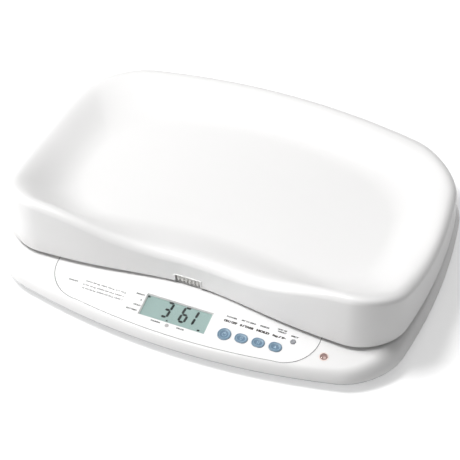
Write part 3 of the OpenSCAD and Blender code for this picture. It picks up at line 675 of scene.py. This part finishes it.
def oval(length, width, z, x=0.0, s=0.0, n=48):
    """A ring with round ends, in millimetres."""
    ring = []
    for i in range(n):
        a = 2 * math.pi * (i + 0.5) / n
        shift = math.copysign((length - width) / 2, math.cos(a))
        ring.append((x + shift + width / 2 * math.cos(a), s + width / 2 * math.sin(a), z))
    return ring


def film_front(x):
    """Distance of the film's front edge up the console."""
    bow = side_bow * (x / (base_w / 2 - end_bow)) ** 2
    return (bow + film_inset - base_d / 2 - console_y) / math.cos(tilt)


def film_outline(d, z):
    """The printed film's crescent, set in by d."""
    x1, top = film_half_w - d, film_top - d
    x2 = x1 - film_end_r
    start = film_front(x2) + d
    right = [(x2 + film_end_r * math.sin(a), start + film_end_r * (1 - math.cos(a)))
             for a in [math.radians(6 * k) for k in range(16)]]
    front = [(x2 * (i / 20 - 1), film_front(x2 * (i / 20 - 1)) + d) for i in range(1, 40)]
    left = [(-x, s) for x, s in reversed(right)]
    return [(x, s, z) for x, s in left + front + right + [(x1, top), (-x1, top)]]


cut(housing, on_console(loft("film_tool", [film_outline(0, -0.5), film_outline(0, tool_high)])))
for name, half_w, half_h, depth in window_tools:
    cut(housing, on_console(block(name, (window_x - half_w, window_s - half_h, -depth),
                                  (window_x + half_w, window_s + half_h, tool_high))))
for name, x, s, length, width in keys:
    rings = [oval(length + 2 * slip, width + 2 * slip, z, x, s) for z in (tool_low, tool_high)]
    cut(housing, on_console(loft("key_tool", rings)))
rings = [circle(level_hole_r, z, 48, *level_at) for z in (tool_low, tool_high)]
cut(housing, on_console(loft("level_tool", rings)))
print("console cut, keys:", len(keys))

# %% [markdown]
# ## Openings in the deck and the rear wall
# The platform stands on the load cell through a round hole in the deck, and a low collar round
# the hole keeps spilt water out. The power inlet has a round hole in the rear wall. Its tool is
# a cylinder that is made upright and then turned to point backwards.
# %% Cut the deck and the rear wall
deck_hole_r, deck_hole_x, deck_hole_y = 32, 45, 35
jack_x, jack_z, jack_hole_r = -120, 22, 4.6
collar_profile = [(35, 38.2), (35, 41.2), (34.4, 42), (32.6, 42), (32, 41.4), (32, 36.4),
                  (35, 36.4), (35, 38.2)]  # radius and height


def in_rear_wall(piece, y=0.0):
    """Moves a piece that was made upright to the inlet's place, pointing backwards."""
    place = Matrix.Translation((jack_x * MM, y * MM, jack_z * MM))
    piece.data.transform(place @ Matrix.Rotation(-math.pi / 2, 4, "X"))
    return piece


def deck_circle(radius, z):
    """A ring round the middle of the deck's hole."""
    return circle(radius, z, 64, deck_hole_x, deck_hole_y)


cut(housing, loft("deck_tool", [deck_circle(deck_hole_r, deck_z + z) for z in (-6, 3)]))
cut(housing, in_rear_wall(loft("jack_tool", [circle(jack_hole_r, z, 32) for z in (180, 210)])))
collar = loft("deck_collar", [deck_circle(r, z) for r, z in collar_profile], "none")
housing = join("housing_shell", housing, collar)
smooth(housing, 28)
# The housing gets the darker white, a painted shade.
paint(housing, shaded_housing_white)
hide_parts("base_housing")
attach(housing, "base")
print("housing finished, faces:", len(housing.data.polygons))

# %% [markdown]
# ## The bottom cover
# The cover's form comes over from the solid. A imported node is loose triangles, so a copy of it
# is merged and its flat faces are dissolved, which lets the curved side shade smoothly. The big
# flat underside then needs weighted normals, or it would show streaks.
# %% Merge a copy of the cover
cover_gap, flat_angle = 2e-6, math.radians(0.3)

cover = bpy.data.objects.new("cover_shell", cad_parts["base_cover"].data.copy())
bpy.context.collection.objects.link(cover)
edit(cover)
bpy.ops.mesh.select_all(action="SELECT")
bpy.ops.mesh.remove_doubles(threshold=cover_gap)
bpy.ops.mesh.dissolve_limited(angle_limit=flat_angle)
bpy.ops.object.mode_set(mode="OBJECT")
smooth(cover, 26)
apply_modifier(cover, "WEIGHTED_NORMAL", keep_sharp=True)
paint(cover, cover_grey)
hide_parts("base_cover")
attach(cover, "base")
print("cover faces:", len(cover.data.polygons))

# %% [markdown]
# ## The keys
# Each key is one soft moulding: a stem over its switch, a flange that keeps it under the
# console, and a cap with a rounded rim and a flat-bottomed dish for the finger. The rim of the
# blue keys looks paler where it catches the light, so it gets a paler blue of its own. One
# function makes all five keys, from the oval's length and width.
# %% Loft the keys
stem_d, stem_low, flange_low, flange_top, flange_grow = 4, -8.1, -3.7, -2.7, 3
cap_low, shoulder_z, shoulder_r, shoulder_grow = 0.1, 0.4, 0.8, -1.6
dish_z, dish_grow, dish_run, dish_depth, full_width = 1.18, -2.2, -0.36, 0.95, 12.6
highlight_rim_from, highlight_rim_slope = 0.3, 0.93


def key_cap(node, x, s, length, width, body, rim_highlight):
    """One key, with a painted highlight in a second, paler material on its rim where it has one.
    """
    def ring(grow, z):
        return oval(length + grow, width + grow, z, x, s)

    rings = [oval(stem_d, stem_d, stem_low, x, s), oval(stem_d, stem_d, flange_low, x, s),
             ring(flange_grow, flange_low), ring(flange_grow, flange_top), ring(0, flange_top),
             ring(0, cap_low)]
    for a in (0, 18, 36, 54, 72, 90):
        b = math.radians(a)
        rings.append(ring(shoulder_grow * (1 - math.cos(b)),
                          shoulder_z + shoulder_r * math.sin(b)))
    rings.append(ring(dish_grow, dish_z))
    size = min(width, full_width)
    for k in (0.2, 0.4, 0.6, 0.8, 1.0):
        dip = dish_depth * (1 - math.cos(math.pi * k)) / 2
        rings.append(ring(dish_grow + dish_run * size * k, dish_z - dip * size / full_width))
    cap = on_console(loft(node + "_cap", rings))
    paint(cap, body)
    if rim_highlight:
        cap.data.materials.append(rim_highlight)
        # The cap's sloping faces above the console get the paler blue as a painted highlight.
        up = console.to_3x3() @ Vector((0, 0, 1))
        for face in cap.data.polygons:
            height = (face.center - console.translation).dot(up) / MM
            if height > highlight_rim_from and face.normal.dot(up) < highlight_rim_slope:
                face.material_index = 1
    smooth(cap, 40)
    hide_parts(node)
    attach(cap, node)


for key in keys:
    if key[0] == "key_small":
        key_cap(*key, key_grey, None)
    else:
        key_cap(*key, key_blue, key_rim_highlight_blue)
print("keys made:", len(keys))

# %% [markdown]
# ## Marks on the keys
# The keys carry small pale signs. They are generic ones: a ring with a bar for on and off, a
# nought, a pause sign for hold, and an arrow. Each is a thin print that lies in the dish.
# %% Print the signs
sign_low, sign_high, sign_stroke = 0.16, 0.33, 0.7


def slab(name, outline, low, high):
    """A flat shape with a thickness, from an outline of (x, s) in millimetres."""
    return loft(name, [[(x, s, low) for x, s in outline], [(x, s, high) for x, s in outline]])


def hoop(name, outer, inner, low, high):
    """A flat ring between two outlines with as many points each."""
    rings = [[(x, s, z) for x, s in shape] for shape, z in
             ((outer, low), (outer, high), (inner, high), (inner, low), (outer, low))]
    return loft(name, rings, "none")


def round_outline(x, s, r, stretch=1.0, n=32):
    """Points on a circle or an upright oval."""
    turns = [2 * math.pi * i / n for i in range(n)]
    return [(x + r * math.cos(a), s + r * stretch * math.sin(a)) for a in turns]


def bar(x, s, w, h):
    """The corners of an upright rectangle."""
    return [(x - w / 2, s - h / 2), (x + w / 2, s - h / 2), (x + w / 2, s + h / 2),
            (x - w / 2, s + h / 2)]


def sign_bar(name, x, s, height, extra=0.0):
    """An upright bar of a sign."""
    return slab(name, bar(x, s, sign_stroke, height), sign_low, sign_high + extra)


sign_pale = moulded("sign_pale", (0.36, 0.50, 0.62), 0.4, 0.04, 2000, 0.03)
(x1, s1), (x2, s2), (x3, s3), (x4, s4) = [key[1:3] for key in keys[:4]]
signs = {
    "key_1": [hoop("power_ring", round_outline(x1, s1 - 0.4, 2.7),
                   round_outline(x1, s1 - 0.4, 2.1), sign_low, sign_high),
              sign_bar("power_bar", x1, s1 + 1.8, 3.2, 0.04)],
    "key_2": [hoop("nought", round_outline(x2, s2, 1.5, 1.5),
                   round_outline(x2, s2, 0.95, 1.75), sign_low, sign_high)],
    "key_3": [sign_bar("hold_left", x3 - 1, s3, 3.8), sign_bar("hold_right", x3 + 1, s3, 3.8)],
    "key_4": [slab("arrow", [(x4 - 1.8, s4 - 1.6), (x4 + 1.8, s4 - 1.6), (x4, s4 + 2)],
                   sign_low, sign_high)],
}
for node, parts in signs.items():
    sign = on_console(join(node + "_sign", *parts))
    paint(sign, sign_pale)
    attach(sign, node)
print("signs printed:", len(signs))

# %% [markdown]
# ## The display
# Behind the window lies the liquid crystal with its black segments. The number is the kind of
# reading the scale shows. Each segment is a long six-cornered bar with pointed ends, and the
# digits lean a little, so one function places a bar in a leaning digit.
# %% Set the segments
segment_low, segment_high = -2.69, -2.64
digit_w, digit_h, digit_s, lean = 7.2, 20.8, 19.4, math.tan(math.radians(6.0))
corners = {  # each bar from and to: a column and a row of the digit's six corners
    "a": (0, 2, 1, 2), "b": (1, 1, 1, 2), "c": (1, 0, 1, 1), "d": (0, 0, 1, 0),
    "e": (0, 0, 0, 1), "f": (0, 1, 0, 2), "g": (0, 1, 1, 1),
}
lit = {3: "abcdg", 6: "acdefg", 1: "bc"}


def segment(x0, s0, x1, s1, stroke=3.1, gap=0.3):
    """The outline of a pointed bar between two points of the display."""
    a, b = Vector((x0, s0)), Vector((x1, s1))
    along = (b - a).normalized()
    across = Vector((-along.y, along.x)) * stroke / 2
    a, b = a + along * gap, b - along * gap
    inner = along * stroke / 2
    return [tuple(p) for p in (a, a + inner - across, b - inner - across, b, b - inner + across,
                               a + inner + across)]


def dark(name, outline):
    """A dark shape in the liquid crystal."""
    return slab(name, outline, segment_low, segment_high)


def digit(value, x):
    """The lit bars of one digit, with its left edge at x on the base line."""
    bars = []
    for letter in lit[value]:
        c0, r0, c1, r1 = corners[letter]
        p = [(x + c * digit_w + r * digit_h / 2 * lean, digit_s + r * digit_h / 2)
             for c, r in ((c0, r0), (c1, r1))]
        bars.append(dark(f"bar_{value}{letter}", segment(*p[0], *p[1])))
    return bars


marks = [
    dark("point", [(-13.0, 14.2), (-9.8, 14.2), (-11.4, 16.8)]),
    dark("mark_upper", bar(-44.6, 39.6, 3.0, 2.0)),
    dark("mark_lower", segment(26.8, 15.2, 31.6, 15.2, 2.2)),
]
digits = [*digit(3, -21.2), *digit(6, 1.2), *digit(1, 11.4)]
number = on_console(join("display_number", *digits, *marks))
paint(number, segment_black)
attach(number, "base")
print("segments set:", len(digits))

# %% [markdown]
# ## Print on the film
# The film carries a thin grey line round its edge and small words in grey. The words here are
# the plain ones that scales of this kind carry: what each key does, the unit and the capacity.
# A text object is flat and needs a face upwards; it gets a hair of thickness and becomes a
# mesh before it is laid on the console.
# %% Print the line round the film
line_out, line_in, line_low, line_high = 0.45, 1.0, -0.02, 0.05


def film_edge(d):
    """The film's outline in the plane, set in by d."""
    return [point[:2] for point in film_outline(d, 0)]


edge_line = hoop("film_line", film_edge(line_out), film_edge(line_in), line_low, line_high)
on_console(edge_line)
paint(edge_line, ink_grey)
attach(edge_line, "base")
print("line printed, points:", len(edge_line.data.vertices))

# %% Print the words and the dot
ink_t, ink_z, type_size, thin, bold = 0.025, 0.02, 4, 0.26, 0.42


def word(heavy, text, x, s, width, height):
    """A word on the console with its middle at (x, s), made this wide and tall."""
    bpy.ops.object.select_all(action="DESELECT")
    bpy.ops.object.text_add(location=(0, 0, 0))
    piece = bpy.context.object
    piece.data.body = text
    piece.data.size = type_size * MM
    piece.data.offset = heavy * MM
    piece.data.extrude = ink_t * MM
    piece.data.resolution_u = 3
    bpy.ops.object.convert(target="MESH")
    piece = bpy.context.object
    across = [v.co.x for v in piece.data.vertices]
    along = [v.co.y for v in piece.data.vertices]
    w, h = max(across) - min(across), max(along) - min(along)
    centred = Matrix.Translation((-min(across) - w / 2, -min(along) - h / 2, 0))
    sized = Matrix.Diagonal((width * MM / w, height * MM / h, 1, 1))
    piece.data.transform(Matrix.Translation((x * MM, s * MM, ink_z * MM)) @ sized @ centred)
    return piece


prints = [  # piece, ink, weight, and each word with its middle, width and height
    ("film_words_small", ink_grey, thin, [
        ("POWER", 61.4, 44.3, 13.4, 2.0), ("SET TO ZERO", 82.6, 45.0, 18.4, 2.0),
        ("FREEZE", 102.8, 45.2, 11.4, 2.0), ("UNIT OF", 124.0, 48.2, 11.6, 1.9),
        ("WEIGHT", 124.6, 45.2, 11.2, 1.9), ("SET", 141.2, 44.4, 9.6, 1.9),
        ("READY", -54.8, 37.9, 11.4, 2.0), ("0", -51.4, 30.4, 1.8, 2.2),
        ("HOLD", -53.3, 22.5, 9.0, 2.0), ("BATTERY", -56.8, 14.8, 14.4, 2.0),
        ("POUNDS", -23.0, 8.2, 12.0, 2.0), ("KILOS", 9.0, 8.4, 9.4, 2.0),
        ("CAPACITY", -141.0, 29.0, 13.2, 2.1)]),
    ("film_words_fine", ink_pale, thin, [
        ("MAX 20 kg  MIN 100 g  d = 10 g", -99.2, 33.2, 53.0, 2.1),
        ("0 TO 10 kg  STEPS OF 10 g  UNIT 1", -100.6, 27.4, 54.0, 2.1),
        ("10 TO 20 kg  STEPS OF 20 g  UNIT 1", -99.8, 22.4, 54.0, 2.1)]),
    ("film_words_large", ink_brown, bold, [
        ("ON / OFF", 61.7, 38.1, 16.8, 3.3), ("0 / TARE", 82.4, 38.0, 17.0, 3.3),
        ("HOLD", 103.1, 38.1, 16.6, 3.3), ("kg / lb", 123.8, 37.9, 16.8, 3.4)]),
]
for name, ink, heavy, rows in prints:
    words = on_console(join(name, *[word(heavy, *row) for row in rows]))
    paint(words, ink)
    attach(words, "base")

dot_x, dot_s, dot_r = -7.9, 7.4, 2.5
dot = on_console(slab("film_dot", round_outline(dot_x, dot_s, dot_r), -0.01, 0.045))
paint(dot, moulded("dot_pale", (0.44, 0.42, 0.42), 0.5, 0.06, 3000, 0.02))
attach(dot, "base")
print("words printed:", sum(len(rows) for *_, rows in prints))

# %% [markdown]
# ## The bubble level
# A level is a little round cup of tinted liquid under a domed lens, with a ring on it and a
# bubble below. The cup's own form is the solid's, and the rest is made here. The bubble lies a
# little to the right of the ring's middle, as in the photograph.
# %% Fill the level
x, s = level_at
lens_r, lens_low, dome_h, level_n = 4.5, -1.3, 0.9, 40
liquid_low, liquid_top = -6.4, -1.75
target_r, target_inner_r, target_low, target_top = 2.3, 1.95, -1.74, -1.66
bubble_r, bubble_h, bubble_z, bubble_off = 1.75, 0.22, -1.62, (1.0, -0.3)

dome = [circle(lens_r, z, level_n, x, s) for z in (lens_low, 0.0)]
for a in (15, 30, 45, 60, 72, 82):
    b = math.radians(a)
    dome.append(circle(lens_r * math.cos(b), dome_h * math.sin(b), level_n, x, s))
lens = on_console(loft("level_dome", dome))
smooth(lens, 60)
paint(lens, lens_red)
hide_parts("level_lens")
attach(lens, "base")

cup = [circle(lens_r, z, level_n, x, s) for z in (liquid_low, liquid_top)]
liquid = on_console(loft("level_liquid", cup))
paint(liquid, liquid_red)
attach(liquid, "base")

target = on_console(hoop("level_target", round_outline(x, s, target_r),
                         round_outline(x, s, target_inner_r), target_low, target_top))
paint(target, ink_dark)
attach(target, "base")

ball = []
for a in (12, 30, 50, 70, 90, 110, 130, 150, 168):
    b = math.radians(a)
    ball.append(circle(bubble_r * math.sin(b), bubble_z - bubble_h * math.cos(b), 28,
                       x + bubble_off[0], s + bubble_off[1]))
bubble = on_console(loft("level_bubble", ball))
smooth(bubble, 60)
paint(bubble, bubble_pale)
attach(bubble, "base")
print("level filled, bubble faces:", len(bubble.data.polygons))

# %% [markdown]
# ## The locating tab
# A small block stands in the tray's notch and keeps the tray from turning. It has upright
# ridges, so it is a rounded block with slim bars on its face.
# %% Make the tab
tab_half_w, tab_low, tab_top, tab_face, tab_back = 15.9, 0.4, 10.2, 2.6, 9.2
ridge_n, ridge_pitch, ridge_half_w, ridge_face = 6, 5, 1.3, 0.4
ridge_low, ridge_top = 1.2, 9.4

parts = [block("tab_body", (tab_x - tab_half_w, tab_y + tab_face, tray_z + tab_low),
               (tab_x + tab_half_w, tab_y + tab_back, tray_z + tab_top), 0.6)]
for k in range(ridge_n):
    x = tab_x + ridge_pitch * (k - (ridge_n - 1) / 2)
    parts.append(block("tab_ridge", (x - ridge_half_w, tab_y + ridge_face, tray_z + ridge_low),
                       (x + ridge_half_w, tab_y + ridge_face + 3, tray_z + ridge_top), 0.4, 2))
tab = join("tab_ridged", *parts)
smooth(tab)
paint(tab, moulded("tab_grey", (0.74, 0.73, 0.705), 0.4, 0.02, 1600, 0.08))
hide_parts("locating_tab")
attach(tab, "base")
print("tab made, ridges:", ridge_n)

# %% [markdown]
# ## Under and behind
# The power inlet gets its centre pin, and the battery door a raised arrow that shows which way
# it opens. Both are small, and both are what a hand looks for.
# %% Make the pin and the arrow
pin_profile = [(1.05, -8.6), (1.05, 0.2), (0.95, 0.6), (0.7, 0.85), (0.3, 0.95)]
pin_y, arrow_low, arrow_high = 195, 4.85, 5.2

pin = in_rear_wall(loft("inlet_pin", [circle(r, z, 20) for r, z in pin_profile]), pin_y)
smooth(pin)
paint(pin, nickel)
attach(pin, "base")

arrow = slab("door_arrow", [(136.0, 107.0), (136.0, 117.0), (129.0, 112.0)],
             arrow_low, arrow_high)
paint(arrow, cover_grey)
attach(arrow, "battery_door")
print("pin and arrow made")

# %% [markdown]
# ## Finishes for the solids that stay
# Every other piece keeps its solid's own form and gets its finish here: rubber for the pads,
# plated steel for the platform and the screws, milled aluminium for the load cell.
# %% Dress the remaining solids
finishes = {
    film_white: ["panel_overlay"], window_clear: ["display_window"], crystal: ["display_glass"],
    dark_plastic: ["display_frame", "key_switches", "power_jack"], board_green: ["circuit_board"],
    screw_steel: ["board_screws", "cell_bolts", "overload_stops", "housing_screws"],
    ring_pink: ["level_case"], cell_alu: ["load_cell"], plate_steel: ["cell_spacers", "platform"],
    rubber_grey: ["platform_pads", "pad_front_left", "pad_front_right", "pad_rear_left",
                  "pad_rear_right"],
    foot_grey: ["foot_front_left", "foot_front_right", "foot_rear_left", "foot_rear_right"],
    shell_white: ["tray_ribs"], cover_grey: ["battery_door"], cell_wrap: ["battery_cells"],
    nickel: ["battery_contacts"],
}
for material, nodes in finishes.items():
    for node in nodes:
        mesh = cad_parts[node].data
        mesh.materials.clear()
        mesh.materials.append(material)
print("solids dressed:", sum(len(nodes) for nodes in finishes.values()))
